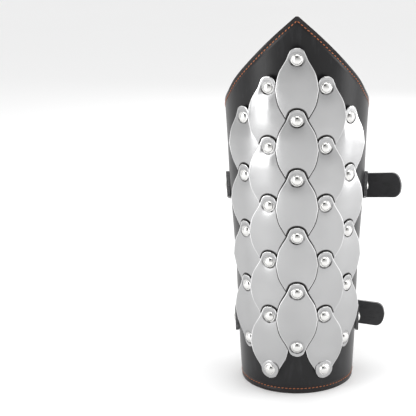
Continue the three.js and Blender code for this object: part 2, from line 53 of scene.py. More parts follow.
GUARD_LENGTH = 239.5
WRIST_RADIUS = 37
UPPER_RADIUS = 45.6
FLAP_REACH = 91
LEATHER_THICKNESS = 2.4
TOP_RIVET_HEIGHT = 215.5
ROW_PITCH = 36.3
COLUMN_PITCH = 16.4
OUTER_COLUMN_SHIFT = 1.6
INNER_COLUMN_DROP = 17
SCALE_HALF_WIDTH = 11.7
FLANK_STAND_OFF = 2.4
FLANK_START = 0.15
FLANK_POWER = 2.4
SCALE_TIP_REACH = 6.5
SCALE_THICKNESS = 0.8
LOBE_RADIUS = 4.55
TIP_TRIM = 0.10
DISH_DEPTH = 0.75
OUTER_DISH_DEPTH = 0.4
DISH_SPREAD = 4.6
END_SCALE_RADIUS = 5.9
DOME_RADIUS = 3.2
DOME_HEIGHT = 1.9
WASHER_RADIUS = 2.6
RIM_MARGIN = 0.9
STITCH_INSET = 2.4
STITCH_PITCH = 2.5
STITCH_HALF_LENGTH = 0.86
STITCH_HALF_WIDTH = 0.30
STITCH_HALF_DEPTH = 0.26
STRAP_WIDTH = 16.6
STRAP_THICKNESS = 2
TAIL_ROUND_LENGTH = 6
TAIL_DROOP = 1.2
TAIL_BLUNTNESS = 2.2
WIRE_RADIUS = 1.3
FRAME_WIDTH = 26
FRAME_REACH = 13
FRAME_CORNER = 4.2
FRAME_BOW = 0.7
ROLLER_RADIUS = 2.3
ROLLER_LENGTH = 20
PRONG_WIDTH = 2.8
PRONG_THICKNESS = 1.6
PRONG_HOLE_SHARE = 0.35
PRONG_EXIT = 6.2
PRONG_SLOT_RADIUS = 1.7
PRONG_SLOT_HALF = 1.6
PRONG_TIP_SHARE = 0.82
PRONG_TIP_LENGTH = 1.2
KEEPER_WIRE_RADIUS = 1.2
KEEPER_HEIGHT = 24
KEEPER_CORNER_SHARE = 0.3
STRAP_HOLE_RADIUS = 0.95
STRAP_END_ANGLE = 92
OPEN_BACK_TO = 30
FLAP_FROM = 60
STRAP_RIVET_INSET = 8
END_RISE_POWER = 2.3
FOLD_RETURN = 36
BAR_SLOT_RADIUS = 2.0
BAR_SLOT_PAST_FOLD = 1.0
FOLD_HEAD_THICKNESS = 0.8
GAP = 0.3
REST_CLEARANCE = 0.2

GIRTH = [
    (0, 0), (0.12, 0.17), (0.27, 0.29), (0.33, 0.35), (0.44, 0.53),
    (0.55, 0.73), (0.66, 0.85), (0.77, 1), (0.82, 1.1), (1, 1.4),
]
OUTLINE = [
    (0, 0.9), (0.1, 0.91), (0.25, 0.94), (0.42, 0.973), (0.576, 1), (0.635, 0.995),
    (0.689, 0.962), (0.729, 0.9), (0.756, 0.813), (0.779, 0.703), (0.804, 0.593),
    (0.837, 0.495), (0.88, 0.363), (0.922, 0.242), (0.96, 0.132), (0.989, 0.044), (1, 0.01),
]
SCALE_WIDTHS = [(0, 1), (0.38, 0.845), (0.72, 0.49), (0.9, 0.33), (1, 0.13)]

COLUMNS = [
    ("outer_left", -2, 4),
    ("left", -1, 5),
    ("centre", 0, 5),
    ("right", 1, 5),
    ("outer_right", 2, 4),
]

STRAPS = [
    dict(name="upper", middle=118.5, rise=11.5, hinge=-8, keeper=27.4,
         leave=30, tail=51.8, tail_rise=6, pitch=18.4, past=3),
    dict(name="lower", middle=32, rise=6.6, hinge=-17, keeper=14.5,
         leave=18, tail=49.3, tail_rise=-2, pitch=14.3, past=3),
]


def clamp(value, low=0.0, high=1.0):
    return max(low, min(high, value))


def blend(a, b, share):
    return a + (b - a) * share


# Share of the way from low to high, with soft ends
def smooth(value, low, high):
    share = clamp((value - low) / (high - low))
    return share * share * (3 - 2 * share)


# Smooth value between the rows of a table
def follow(rows, at):
    last = len(rows) - 1
    i = clamp(bisect_left([row[0] for row in rows], at) - 1, 0, last - 1)
    a, b = rows[max(i - 1, 0)], rows[i]
    c, d = rows[i + 1], rows[min(i + 2, last)]
    span = c[0] - b[0]
    slope_b = (c[1] - a[1]) / (c[0] - a[0])
    slope_c = (d[1] - b[1]) / (d[0] - b[0])
    t = clamp((at - b[0]) / span)
    t2, t3 = t * t, t * t * t
    return (
        (2 * t3 - 3 * t2 + 1) * b[1] + (t3 - 2 * t2 + t) * span * slope_b
        + (3 * t2 - 2 * t3) * c[1] + (t3 - t2) * span * slope_c
    )


def radius_at(z):
    swell = follow(GIRTH, clamp(z / GUARD_LENGTH))
    return WRIST_RADIUS + (UPPER_RADIUS - WRIST_RADIUS) * swell


def reach_at(up):
    return FLAP_REACH * follow(OUTLINE, up)


shell_low, shell_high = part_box("leather_shell")
AXIS = Vector((
    (shell_low.x + shell_high.x) / 2,
    shell_low.y + MM * radius_at(GUARD_LENGTH),
    0,
))


# A point by its distance round the leather from the front line, its height,
# and how far it stands off the outer face
def on_leather(around, z, off=0.0):
    radius = radius_at(z)
    angle = around / radius
    return AXIS + MM * Vector((
        (radius + off) * math.sin(angle),
        -(radius + off) * math.cos(angle),
        z,
    ))


# A point by its radius and its degrees from the middle of the back, positive to +X
def at_back(radius, degrees, z):
    angle = math.radians(degrees)
    return AXIS + MM * Vector((radius * math.sin(angle), radius * math.cos(angle), z))


# Camera and light
scene = bpy.context.scene
PICTURE_SIZE = 416
MIDDLE_COLUMN = 297
SINK_ROWS = 3
CAMERA_ELEVATION = math.radians(14)
CAMERA_DISTANCE = 0.68
TARGET_HEIGHT = 0.1155
target = AXIS + Vector((0, 0, TARGET_HEIGHT))
camera_data = bpy.data.cameras.new("camera")
camera_data.lens = 90.5
camera_data.sensor_width = 36
camera_data.shift_x = -(MIDDLE_COLUMN - PICTURE_SIZE / 2) / PICTURE_SIZE
camera_data.shift_y = -SINK_ROWS / PICTURE_SIZE
camera_data.clip_start = 0.01
camera_data.clip_end = 60
camera = bpy.data.objects.new("camera", camera_data)
scene.collection.objects.link(camera)
back_off = Vector((0, -math.cos(CAMERA_ELEVATION), math.sin(CAMERA_ELEVATION)))
camera.location = target + CAMERA_DISTANCE * back_off
camera.rotation_euler = (-back_off).to_track_quat("-Z", "Y").to_euler()
scene.camera = camera

LAMP_AIM = Vector((0, 0, 0.11))


def area_light(name, place, width, height, power):
    data = bpy.data.lights.new(name, "AREA")
    data.shape = "RECTANGLE"
    data.size = width
    data.size_y = height
    data.energy = power
    lamp = bpy.data.objects.new(name, data)
    lamp.location = place
    aim = LAMP_AIM - Vector(place)
    lamp.rotation_euler = aim.to_track_quat("-Z", "Y").to_euler()
    lamp.visible_camera = False
    scene.collection.objects.link(lamp)


area_light("left_panel", (-0.50, -0.36, 0.24), 0.30, 0.60, 1.7)
area_light("right_panel", (0.60, -0.04, 0.26), 0.30, 0.60, 1.6)
area_light("top_panel", (0.1, -0.3, 1.2), 0.9, 0.9, 4)
area_light("back_panel", (0.25, 1.0, 0.7), 0.8, 0.8, 3)
scene.view_settings.view_transform = "Standard"


# Helpers for shader nodes
def add_node(tree, kind, inputs=None, **settings):
    made = tree.nodes.new(kind)
    for key, value in settings.items():
        setattr(made, key, value)
    for key, value in (inputs or {}).items():
        if isinstance(value, bpy.types.NodeSocket):
            tree.links.new(value, made.inputs[key])
        else:
            made.inputs[key].default_value = value
    return made


def maths(tree, kind, a, b=0.0):
    return add_node(tree, "ShaderNodeMath", {0: a, 1: b}, operation=kind).outputs[0]


def ramp(tree, value, stops):
    made = add_node(tree, "ShaderNodeValToRGB", {0: value})
    points = made.color_ramp.elements
    while len(points) < len(stops):
        points.new(0.5)
    for point, (at, shade) in zip(points, stops):
        point.position = at
        point.color = (*shade, 1) if isinstance(shade, tuple) else (shade, shade, shade, 1)
    return made.outputs[0]


def grain(tree, place, scale, detail, rough=0.55):
    return add_node(tree, "ShaderNodeTexNoise", {
        "Vector": place, "Scale": scale, "Detail": detail, "Roughness": rough,
    }).outputs[0]


def cells(tree, place, scale):
    made = add_node(tree, "ShaderNodeTexVoronoi", {"Vector": place, "Scale": scale})
    return made.outputs["Distance"]


def stretched(tree, place, x, y, z):
    return add_node(tree, "ShaderNodeMapping", {"Vector": place, "Scale": (x, y, z)}).outputs[0]


def bumped(tree, height, strength, depth, below=None):
    inputs = {"Height": height, "Strength": strength, "Distance": depth}
    if below is not None:
        inputs["Normal"] = below
    return add_node(tree, "ShaderNodeBump", inputs).outputs[0]


def mixed(tree, share, a, b):
    made = add_node(tree, "ShaderNodeMix", {0: share}, data_type="RGBA")
    for key, value in ((6, a), (7, b)):
        if isinstance(value, bpy.types.NodeSocket):
            tree.links.new(value, made.inputs[key])
        else:
            made.inputs[key].default_value = (*value, 1)
    return made.outputs[2]


def start_material(name, metallic=0.0, coat=0.0, specular=0.5):
    made = bpy.data.materials.new(name)
    made.use_nodes = True
    tree = made.node_tree
    shader = tree.nodes["Principled BSDF"]
    shader.inputs["Metallic"].default_value = metallic
    shader.inputs["Coat Weight"].default_value = coat
    shader.inputs["Coat Roughness"].default_value = 0.2
    shader.inputs["Specular IOR Level"].default_value = specular
    place = add_node(tree, "ShaderNodeTexCoord").outputs["Object"]
    return made, tree, shader, place


def finish_material(tree, shader, colour, rough, normal):
    tree.links.new(colour, shader.inputs["Base Color"])
    tree.links.new(rough, shader.inputs["Roughness"])
    if normal is not None:
        tree.links.new(normal, shader.inputs["Normal"])


def attribute(tree, name):
    return add_node(tree, "ShaderNodeAttribute", attribute_name=name).outputs["Fac"]


# Smooth finished hide: near-black, glossy, with a pressed stitch channel along the edge
def make_hide(name):
    made, tree, shader, place = start_material(name, specular=0.30)
    broad = grain(tree, place, 28, 2)
    fine = cells(tree, place, 1500)
    pores = grain(tree, place, 2600, 2)
    edge = attribute(tree, "edge_distance")
    channel = maths(tree, "ABSOLUTE", maths(tree, "SUBTRACT", edge, STITCH_INSET))
    pressed = ramp(tree, maths(tree, "DIVIDE", channel, 1.6), [(0, 0.0), (0.35, 0.25), (1, 1.0)])
    worn = ramp(tree, maths(tree, "DIVIDE", edge, 2.0), [(0, 1.0), (0.5, 0.35), (1, 0.0)])
    streaks = grain(tree, stretched(tree, place, 60, 60, 14), 5, 4)
    scuffs = ramp(tree, streaks, [(0.52, 0.0), (0.8, 1.0)])
    shade = mixed(tree, broad, (0.0055, 0.005, 0.0055), (0.012, 0.012, 0.0135))
    shade = mixed(tree, maths(tree, "MULTIPLY", worn, 0.22), shade, (0.05, 0.033, 0.028))
    shade = mixed(tree, maths(tree, "MULTIPLY", scuffs, 0.16), shade, (0.085, 0.088, 0.095))
    rough = maths(tree, "ADD", maths(tree, "MULTIPLY", broad, 0.16), 0.24)
    rough = maths(tree, "ADD", rough, maths(tree, "MULTIPLY", scuffs, 0.1))
    normal = bumped(tree, fine, 0.10, 0.00012)
    normal = bumped(tree, pores, 0.06, 0.0001, normal)
    normal = bumped(tree, pressed, 0.8, 0.0005, normal)
    normal = bumped(tree, broad, 0.25, 0.0012, normal)
    finish_material(tree, shader, shade, rough, normal)
    return made


# Flesh side: brown-black, matt, with long upright creases whose lines are painted near-black as
# painted shade
def make_lining(name):
    made, tree, shader, place = start_material(name, specular=0.28)
    nap = grain(tree, place, 1700, 4, 0.7)
    broad = grain(tree, stretched(tree, place, 1, 1, 0.25), 45, 3)
    creases = grain(tree, stretched(tree, place, 1, 1, 0.03), 95, 2)
    lines = ramp(tree, creases, [(0.47, 0.0), (0.5, 1.0), (0.53, 0.0)])
    shade = mixed(tree, broad, (0.0075, 0.0055, 0.0062), (0.023, 0.017, 0.0195))
    shade = mixed(tree, maths(tree, "MULTIPLY", nap, 0.3), shade, (0.032, 0.024, 0.027))
    blots = grain(tree, stretched(tree, place, 1, 1, 0.5), 38, 1)
    patches = ramp(tree, blots, [(0.5, 0.0), (0.58, 1.0)])
    marks = maths(tree, "MULTIPLY", lines, patches)
    # Painted shade: the crease lines are darkened to near-black
    shade = mixed(tree, maths(tree, "MULTIPLY", marks, 0.85), shade, (0.0012, 0.001, 0.001))
    rough = maths(tree, "ADD", maths(tree, "MULTIPLY", broad, 0.15), 0.52)
    normal = bumped(tree, nap, 0.35, 0.0002)
    normal = bumped(tree, maths(tree, "SUBTRACT", 1.0, marks), 0.5, 0.0004, normal)
    finish_material(tree, shader, shade, rough, normal)
    return made


# Cut and burnished edge: slightly fibrous, a little lighter than the faces
def make_cut_edge(name, dark, light):
    made, tree, shader, place = start_material(name, coat=0.1, specular=0.4)
    fibres = grain(tree, place, 900, 4, 0.7)
    broad = grain(tree, place, 120, 2)
    shade = mixed(tree, ramp(tree, fibres, [(0.35, 0.0), (0.7, 1.0)]), dark, light)
    rough = maths(tree, "ADD", maths(tree, "MULTIPLY", broad, 0.25), 0.38)
    normal = bumped(tree, fibres, 0.35, 0.00015)
    finish_material(tree, shader, shade, rough, normal)
    return made


# Strap leather: dark grey, waxed, with fine wrinkles across and small pores; the wrinkle troughs
# are painted darker as painted shade
def make_strap_leather(name):
    made, tree, shader, place = start_material(name, specular=0.3)
    broad = grain(tree, place, 60, 3)
    pebble = cells(tree, place, 1250)
    wrinkle = grain(tree, stretched(tree, place, 0.3, 0.3, 1), 520, 5, 0.7)
    folds = ramp(tree, wrinkle, [(0.40, 0.0), (0.5, 0.75), (0.62, 1.0)])
    shade = mixed(tree, broad, (0.040, 0.040, 0.042), (0.070, 0.070, 0.073))
    # Painted shade: darker in the troughs of the wrinkles
    fold_trough_shade = ramp(tree, wrinkle, [(0.38, 1.0), (0.5, 0.0)])
    shade = mixed(tree, maths(tree, "MULTIPLY", fold_trough_shade, 0.32), shade, (0.022, 0.022, 0.023))
    rough = maths(tree, "ADD", maths(tree, "MULTIPLY", wrinkle, 0.2), 0.34)
    normal = bumped(tree, pebble, 0.12, 0.00015)
    normal = bumped(tree, folds, 0.4, 0.0002, normal)
    normal = bumped(tree, broad, 0.4, 0.0009, normal)
    finish_material(tree, shader, shade, rough, normal)
    return made


# Waxed thread, twisted
def make_thread(name):
    made, tree, shader, place = start_material(name, specular=0.3)
    twist = grain(tree, place, 2600, 2)
    along = grain(tree, place, 40, 2)
    shade = mixed(tree, along, (0.36, 0.10, 0.035), (0.56, 0.20, 0.085))
    shade = mixed(tree, maths(tree, "MULTIPLY", twist, 0.4), shade, (0.2, 0.06, 0.03))
    rough = maths(tree, "ADD", maths(tree, "MULTIPLY", twist, 0.2), 0.5)
    finish_material(tree, shader, shade, rough, bumped(tree, twist, 0.5, 0.0001))
    return made


# Polished sheet steel with fine wheel marks, small scratches and cloudy finger marks; on the
# scales it also paints near-black shade along the edges of the scales lying over it and below
# each rivet, and a painted highlight along its own rim
def make_steel(name, dark=0.375, light=0.455, low=0.10, high=0.22, paints_shade_and_highlight=True):
    made, tree, shader, place = start_material(name, metallic=1.0)
    clouds = grain(tree, place, 55, 3)
    wheel = grain(tree, stretched(tree, place, 1, 1, 0.04), 1500, 2)
    scratch = grain(tree, stretched(tree, place, 0.12, 0.12, 1), 900, 2)
    lines = ramp(tree, scratch, [(0.485, 0.0), (0.5, 1.0), (0.515, 0.0)])
    wave = grain(tree, place, 75, 1)
    shade = mixed(tree, clouds, (dark, dark, dark * 1.01), (light, light, light * 1.005))
    rough = maths(tree, "ADD", maths(tree, "MULTIPLY", clouds, high - low), low)
    rough = maths(tree, "ADD", rough, maths(tree, "MULTIPLY", lines, 0.05))
    if paints_shade_and_highlight:
        # Painted shade: a near-black ring round each rivet, stronger on its lower side and broken
        # up by noise
        rivet_shade_breakup = grain(tree, place, 240, 3)
        # Painted shade: a near-black line along the edges of the scales that lie over this one,
        # also made rougher
        seam = maths(tree, "DIVIDE", attribute(tree, "seam_distance"), 2.0)
        line = ramp(tree, seam, [(0.0, 1.0), (0.30, 0.9), (0.52, 0.0)])
        ring = maths(tree, "SUBTRACT", attribute(tree, "rivet_distance"), 4.0)
        ring = maths(tree, "ABSOLUTE", ring)
        band = ramp(tree, ring, [(0.4, 1.0), (0.75, 0.0)])
        band = maths(tree, "MULTIPLY", band, ramp(tree, rivet_shade_breakup, [(0.36, 0.3), (0.58, 1.0)]))
        below = ramp(tree, attribute(tree, "rivet_side"), [(0.35, 0.25), (0.85, 1.0)])
        band = maths(tree, "MULTIPLY", band, below)
        painted_shade = maths(tree, "MAXIMUM", line, band)
        # Painted highlight: a near-white line along the scale's rim, patchy with the clouds
        painted_rim_highlight = ramp(tree, attribute(tree, "rim_distance"), [(0.22, 1.0), (0.55, 0.0)])
        painted_rim_highlight = maths(tree, "MULTIPLY", painted_rim_highlight, ramp(tree, clouds, [(0.35, 0.45), (0.6, 1.0)]))
        shade = mixed(tree, painted_rim_highlight, shade, (0.93, 0.93, 0.93))
        shade = mixed(tree, painted_shade, shade, (0.022, 0.021, 0.020))
        rough = maths(tree, "ADD", rough, maths(tree, "MULTIPLY", painted_shade, 0.3))
    normal = bumped(tree, wheel, 0.03, 0.0001)
    normal = bumped(tree, lines, 0.02, 0.0001, normal)
    normal = bumped(tree, wave, 0.10, 0.0009, normal)
    finish_material(tree, shader, shade, rough, normal)
    return made


# Bright nickel plate over cast and drawn wire
def make_nickel(name, tint, rough_low):
    made, tree, shader, place = start_material(name, metallic=1.0)
    clouds = grain(tree, place, 160, 3)
    pits = ramp(tree, cells(tree, place, 900), [(0.0, 1.0), (0.10, 0.0)])
    darker = tuple(0.82 * part for part in tint)
    shade = mixed(tree, clouds, tint, darker)
    rough = maths(tree, "ADD", maths(tree, "MULTIPLY", clouds, 0.14), rough_low)
    rough = maths(tree, "ADD", rough, maths(tree, "MULTIPLY", pits, 0.12))
    normal = bumped(tree, pits, 0.05, 0.0001)
    normal = bumped(tree, grain(tree, place, 260, 2), 0.06, 0.0004, normal)
    finish_material(tree, shader, shade, rough, normal)
    return made


hide = make_hide("outer_leather")
lining = make_lining("inner_leather")
hide_edge = make_cut_edge("leather_edge", (0.008, 0.0065, 0.006), (0.034, 0.026, 0.023))
strap_face = make_strap_leather("strap_leather_face")
strap_edge = make_cut_edge("strap_leather_edge", (0.05, 0.05, 0.053), (0.16, 0.158, 0.16))
thread = make_thread("orange_thread")
steel = make_steel("scale_steel")
# Painted shade: the scales' rims and undersides take this darker, rougher steel so the gaps
# between scales read dark
shaded_steel_edge = make_steel("scale_steel_edge", 0.20, 0.34, 0.25, 0.4, False)
end_steel = make_steel("end_scale_steel", paints_shade_and_highlight=False)
nickel = make_nickel("rivet_nickel", (0.79, 0.785, 0.77), 0.05)
buckle_nickel = make_nickel("buckle_nickel", (0.84, 0.83, 0.81), 0.07)
washer_nickel = make_nickel("washer_nickel", (0.86, 0.85, 0.83), 0.2)
# Painted shade: the rivets' sunk shank ends take this dark leather so the eyelet bores read as
# dark holes
painted_bore_shade = make_lining("eyelet_bore_painted_shade")


# Helpers for pieces
# Every piece rides on the body, and nodes are the solids it replaces
def put_piece(name, mesh, materials, slot, *nodes):
    for material in materials:
        mesh.materials.append(material)
    made = bpy.data.objects.new(name, mesh)
    scene.collection.objects.link(made)
    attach(made, "root")
    if nodes:
        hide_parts(*nodes)
    return made


def piece(name, bm, materials, slot, *nodes):
    for face in bm.faces:
        face.smooth = True
    mesh = bpy.data.meshes.new(name)
    bm.to_mesh(mesh)
    bm.free()
    return put_piece(name, mesh, materials, slot, *nodes)


def thicken(made, thickness, offset, inner_material, rim_material, even=True):
    solid = made.modifiers.new("thickness", "SOLIDIFY")
    solid.thickness = thickness * MM
    solid.offset = offset
    solid.use_even_offset = even
    solid.material_offset = inner_material
    solid.material_offset_rim = rim_material


def round_edges(made, width, segments):
    soft = made.modifiers.new("rounded_edges", "BEVEL")
    soft.width = width * MM
    soft.segments = segments
    soft.limit_method = "ANGLE"
    soft.angle_limit = math.radians(40)
    soft.harden_normals = True


# Closed or open solid turned about the Z axis, from (radius, height) pairs
def turned(profile, steps, closed=False):
    bm = bmesh.new()
    verts = [bm.verts.new((radius * MM, 0, height * MM)) for radius, height in profile]
    pairs = list(zip(verts, verts[1:]))
    if closed:
        pairs.append((verts[-1], verts[0]))
    edges = [bm.edges.new(pair) for pair in pairs]
    bmesh.ops.spin(
        bm, geom=verts + edges, cent=(0, 0, 0), axis=(0, 0, 1),
        angle=2 * math.pi, steps=steps, use_merge=True,
    )
    bmesh.ops.remove_doubles(bm, verts=bm.verts, dist=1e-7)
    bmesh.ops.recalc_face_normals(bm, faces=bm.faces)
    return bm


# Turns local +Z to point out of the leather at a place, with +Y up
def standing(place, outward):
    outward = outward.normalized()
    across = Vector((0, 0, 1)).cross(outward).normalized()
    lifted = outward.cross(across)
    turn = Matrix((across, lifted, outward)).transposed().to_4x4()
    return Matrix.Translation(place) @ turn


def radial(place):
    return Vector((place.x - AXIS.x, place.y - AXIS.y, 0)).normalized()


# Adds a part to a larger mesh, moved into place and with its own material
def gather(target_bm, part_bm, matrix, material=0):
    bmesh.ops.transform(part_bm, matrix=matrix, verts=part_bm.verts)
    for face in part_bm.faces:
        face.material_index = material
    holder = bpy.data.meshes.new("holder")
    part_bm.to_mesh(holder)
    part_bm.free()
    target_bm.from_mesh(holder)
    bpy.data.meshes.remove(holder)


# Leather guard and its stitches
# The flat outline that the stitches keep their distance from
def outline_points(step):
    bottom = reach_at(0)
    count = int(2 * bottom / step)
    points = [(blend(-bottom, bottom, i / count), RIM_MARGIN) for i in range(count)]
    rise = RIM_MARGIN
    right = []
    while rise < GUARD_LENGTH:
        right.append((reach_at(rise / GUARD_LENGTH), rise))
        slope = reach_at(min(rise + 1, GUARD_LENGTH) / GUARD_LENGTH) - right[-1][0]
        rise += step / math.hypot(1, slope)
    right.append((0.0, GUARD_LENGTH))
    left = [(-around, z) for around, z in reversed(right[:-1])]
    return points + right + left[:-1]


outline = outline_points(0.5)
outline_tree = KDTree(len(outline))
for index, (around, z) in enumerate(outline):
    outline_tree.insert((around, z, 0), index)
outline_tree.balance()


def edge_distance(around, z):
    away = outline_tree.find((around, z, 0))[2]
    return away if z > RIM_MARGIN else 0.0


def make_shell():
    bm = bmesh.new()
    bmesh.ops.create_grid(bm, x_segments=104, y_segments=150, size=1)
    inset = bm.verts.layers.float.new("edge_distance")
    for vert in bm.verts:
        share = vert.co.x
        up = (vert.co.y + 1) / 2
        around = share * reach_at(up)
        z = up * GUARD_LENGTH
        vert[inset] = min(edge_distance(around, z), 12.0)
        vert.co = on_leather(around, z)
    made = piece("leather_guard", bm, [hide, lining, hide_edge], "leather", "leather_shell")
    thicken(made, LEATHER_THICKNESS, -1, 1, 2)
    round_edges(made, 0.5, 3)


make_shell()


# The outline moved inward, without the points that would lie too near another side
def stitch_line(inset):
    line = []
    count = len(outline)
    for i in range(count):
        before, here, after = outline[i - 1], outline[i], outline[(i + 1) % count]
        along = Vector((after[0] - before[0], after[1] - before[1])).normalized()
        moved = Vector(here) + inset * Vector((-along.y, along.x))
        if edge_distance(moved.x, moved.y) > inset - 0.06:
            line.append(moved)
    return line


def walk(line, pitch):
    left_over = 0.0
    count = len(line)
    for i in range(count):
        a, b = line[i], line[(i + 1) % count]
        length = (b - a).length
        at = left_over
        while at < length:
            yield a.lerp(b, at / length), (b - a).normalized()
            at += pitch
        left_over = at - length


def make_stitches(name, off, side):
    loop_bm = bmesh.new()
    bmesh.ops.create_uvsphere(loop_bm, u_segments=8, v_segments=6, radius=1)
    loop = bpy.data.meshes.new("thread_loop")
    loop_bm.to_mesh(loop)
    loop_bm.free()
    bm = bmesh.new()
    for middle, along in walk(stitch_line(STITCH_INSET), STITCH_PITCH):
        half = STITCH_HALF_LENGTH + random.uniform(-0.06, 0.06)
        place = on_leather(middle.x, middle.y, off)
        ahead = on_leather(middle.x + along.x * 0.5, middle.y + along.y * 0.5, off)
        outward = side * radial(place)
        forward = (ahead - place).normalized()
        across = outward.cross(forward).normalized()
        forward = (forward + across * random.uniform(0.08, 0.2)).normalized()
        across = outward.cross(forward).normalized()
        outward = forward.cross(across)
        turn = Matrix((forward, across, outward)).transposed().to_4x4()
        size = Matrix.Diagonal((half * MM, STITCH_HALF_WIDTH * MM, STITCH_HALF_DEPTH * MM, 1))
        laid = loop.copy()
        laid.transform(Matrix.Translation(place) @ turn @ size)
        bm.from_mesh(laid)
        bpy.data.meshes.remove(laid)
    piece(name, bm, [thread], "leather")


make_stitches("edge_stitches_outside", 0.02, 1)
make_stitches("edge_stitches_inside", -LEATHER_THICKNESS - 0.02, -1)


# Scales and rivets
COLUMN_STEP = SCALE_THICKNESS + GAP
DROP_SHARE = INNER_COLUMN_DROP / ROW_PITCH
COLUMN_LIFT = COLUMN_STEP * (1 + max(DROP_SHARE, 1 - DROP_SHARE)) + REST_CLEARANCE / 10


def rivet_height(place, row):
    drop = {0: 0, 1: INNER_COLUMN_DROP, 2: ROW_PITCH}[abs(place)]
    return TOP_RIVET_HEIGHT - drop - row * ROW_PITCH


def seat_of(place):
    return GAP + REST_CLEARANCE + (2 - abs(place)) * COLUMN_LIFT


TIP = ROW_PITCH / 2 + SCALE_TIP_REACH
LOBE_START = TIP - LOBE_RADIUS * (1 - math.sin(math.radians(25)))


# Place of a column round the leather, measured from the front
def around_of(place):
    outer = math.copysign(1, place) if abs(place) == 2 else 0
    return place * COLUMN_PITCH + outer * OUTER_COLUMN_SHIFT


# How far the outward flank of a side column's stiff scale stands off the curve
def flank_lift(place, across):
    out = across / SCALE_HALF_WIDTH * (math.copysign(1, place) if place else 0)
    return FLANK_STAND_OFF * (max(out - FLANK_START, 0) / (1 - FLANK_START)) ** FLANK_POWER


# Half-width of a scale by its distance from the middle: leaf-shaped flanks, round ends
def scale_half(out):
    far = abs(out)
    if far < LOBE_START:
        return SCALE_HALF_WIDTH * follow(SCALE_WIDTHS, far / TIP)
    past = far - (TIP - LOBE_RADIUS)
    return math.sqrt(max(LOBE_RADIUS ** 2 - past ** 2, 0.0))


# How far the plates are drawn in about a rivet
def dish(distance, place):
    deepest = OUTER_DISH_DEPTH if abs(place) == 2 else DISH_DEPTH
    return deepest * math.exp(-(distance / DISH_SPREAD) ** 2)


# Distance outside the outline of another scale, less than 0 under it
class Cover:
    def __init__(self, place, middle, extra=0.0):
        self.extra = extra
        self.around = around_of(place)
        self.middle = middle
        count = 240
        self.tree = KDTree(2 * count + 2)
        for i in range(count + 1):
            out = TIP * math.sin(math.pi * (i / count - 0.5))
            for side in (-1, 1):
                at = self.around + side * scale_half(out)
                self.tree.insert((at, middle + out, 0), 2 * i + (side > 0))
        self.tree.balance()

    def distance(self, around, z):
        away = self.tree.find((around, z, 0))[2]
        out = z - self.middle
        inside = abs(out) < TIP and abs(around - self.around) < scale_half(out)
        return -away if inside else away


def covers_of(place, row, count):
    found = []
    if row + 1 < count:
        found.append(Cover(place, rivet_height(place, row + 1) - ROW_PITCH / 2, 0.45))
    if place:
        inner = place - int(math.copysign(1, place))
        own = rivet_height(place, row) - ROW_PITCH / 2
        for other in range(5):
            middle = rivet_height(inner, other) - ROW_PITCH / 2
            if abs(middle - own) < 2 * TIP:
                found.append(Cover(inner, middle))
    return found


def make_scale(name, place, row, count):
    around = around_of(place)
    upper = rivet_height(place, row)
    lower = upper - ROW_PITCH
    middle = (upper + lower) / 2
    bulge = random.uniform(0.42, 0.62)
    tilt = random.uniform(-0.14, 0.14)
    covers = covers_of(place, row, count)
    bm = bmesh.new()
    bmesh.ops.create_grid(bm, x_segments=22, y_segments=72, size=1)
    seam = bm.verts.layers.float.new("seam_distance")
    ring = bm.verts.layers.float.new("rivet_distance")
    below = bm.verts.layers.float.new("rivet_side")
    rim_highlight_layer = bm.verts.layers.float.new("rim_distance")
    end = TIP - TIP_TRIM
    for vert in bm.verts:
        side = vert.co.x
        out = end * math.sin(vert.co.y * math.pi / 2)
        z = middle + out
        at = around + side * scale_half(out)
        crown = bulge * (1 - side * side) * (1 - smooth(abs(out), 4, ROW_PITCH / 2))
        rim = -0.14 * smooth(abs(side), 0.75, 1.0)
        off = seat_of(place) + COLUMN_STEP * (z - lower) / ROW_PITCH + SCALE_THICKNESS
        to_upper = math.hypot(at - around, z - upper)
        to_lower = math.hypot(at - around, z - lower)
        off += crown + rim + tilt * side - dish(to_upper, place) - dish(to_lower, place)
        off += flank_lift(place, at - around)
        # distance from the edges of the scales lying over this one, where the steel paints a
        # near-black line of shade
        away = [cover.distance(at, z) - cover.extra for cover in covers]
        vert[seam] = clamp(min(away or [9.0]), -2, 9)
        vert[ring] = min(to_upper, to_lower, 9.0)
        # rivet_side grows below the nearer rivet; the steel uses it to paint shade under each
        # rivet
        nearer = upper if to_upper < to_lower else lower
        vert[below] = 0.5 + 0.5 * (nearer - z) / max(min(to_upper, to_lower), 0.5)
        to_rim = min((1 - abs(side)) * scale_half(out), (end - abs(out)) * 0.9)
        # Painted highlight: the rim's bright line is kept narrower on the lower half of the scale
        vert[rim_highlight_layer] = to_rim + 0.22 * smooth(-out, -2, 10)
        vert.co = on_leather(at, z, off)
    made = piece(name + "_plate", bm, [steel, shaded_steel_edge], "polished_steel", name)
    thicken(made, SCALE_THICKNESS, -1, 1, 1, even=False)
    round_edges(made, 0.22, 3)


DOME = [
    (0, DOME_HEIGHT), (0.6, 1.88), (1.2, 1.77), (1.8, 1.56), (2.35, 1.26), (2.8, 0.89),
    (3.05, 0.52), (DOME_RADIUS, 0.24), (3.35, 0.16), (3.62, 0.15), (3.76, 0.05), (3.72, -0.12),
    (0, -0.12),
]
EYELET = [
    (2.52, 0.0), (WASHER_RADIUS, 0.14), (2.5, 0.42), (2.2, 0.62), (1.85, 0.66), (1.55, 0.56),
    (1.34, 0.30), (1.28, 0.0),
]
PEEN = [(1.32, 0.02), (1.0, 0.16), (0.5, 0.20), (0, 0.21)]


